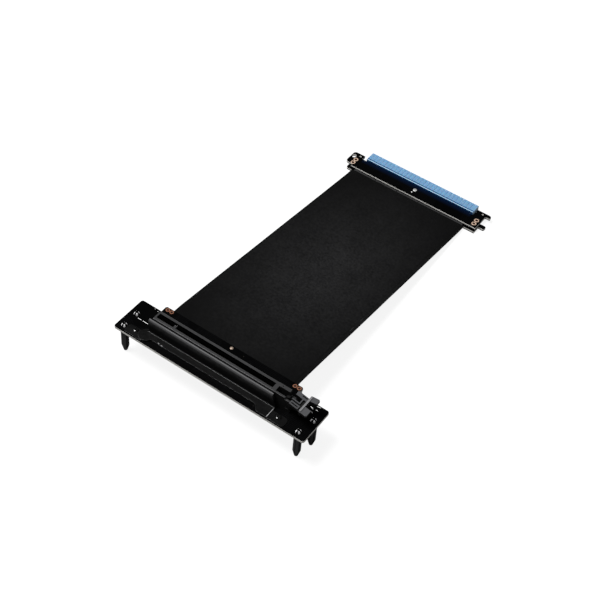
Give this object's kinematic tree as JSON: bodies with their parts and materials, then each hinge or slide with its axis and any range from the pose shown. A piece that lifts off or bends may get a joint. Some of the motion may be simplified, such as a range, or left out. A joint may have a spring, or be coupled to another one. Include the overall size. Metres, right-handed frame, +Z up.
{
  "type": "pcie extension cable",
  "caption": "Flexible card-slot extension: keyed slot with latch and guard on a board with four posts, flat cloth-wrapped cable, and a plug board whose contact edge wears a cap",
  "frame": {"origin": "middle of the whole part in plan, on the floor that the posts and the plug rest on", "axes": "+X along the slot towards its latch, +Y from the slot to the plug, +Z up"},
  "size_m": [0.1394, 0.2512, 0.0339],
  "materials": {
    "circuit_board": "black solder mask over glass laminate, pale cut edges",
    "nylon": "dark grey moulded nylon",
    "connector_plastic": "black moulded thermoplastic, satin",
    "guard_plastic": "black moulded plastic, satin",
    "gold_plate": "thin gold plating",
    "copper": "tinned copper ring",
    "solder": "dull solder",
    "cloth": "matt black cloth tape sleeve",
    "cable_jacket": "dark insulation",
    "cap_plastic": "clear blue soft plastic"
  },
  "bodies": {
    "extension": {"slot_board": "circuit_board", "support_post_front_left": "nylon", "support_post_front_right": "nylon", "support_post_rear_left": "nylon", "support_post_rear_right": "nylon", "slot_housing": "connector_plastic", "slot_contacts_front": "gold_plate", "slot_contacts_rear": "gold_plate", "slot_guard": "guard_plastic", "guard_rivet_left": "guard_plastic", "guard_rivet_right": "guard_plastic", "slot_clamp_board": "circuit_board", "slot_eyelets": "copper", "slot_solder_point": "solder", "cable_wrap": "cloth", "flat_cable_1": "cable_jacket", "flat_cable_2": "cable_jacket", "flat_cable_3": "cable_jacket", "flat_cable_4": "cable_jacket", "flat_cable_5": "cable_jacket", "plug_board": "circuit_board", "plug_clamp_board": "circuit_board", "plug_eyelets": "copper", "plug_solder_points": "solder", "plug_fingers_top": "gold_plate", "plug_fingers_bottom": "gold_plate", "plug_cap": "cap_plastic"},
    "latch": {"slot_latch": "connector_plastic"}
  },
  "joints": [
    {"name": "latch_hinge", "type": "hinge", "parent": "extension", "child": "latch", "pos_m": [0.0496, -0.1101, 0.0258], "axis": [0, 1, 0], "range_deg": [0, 26]}
  ]
}
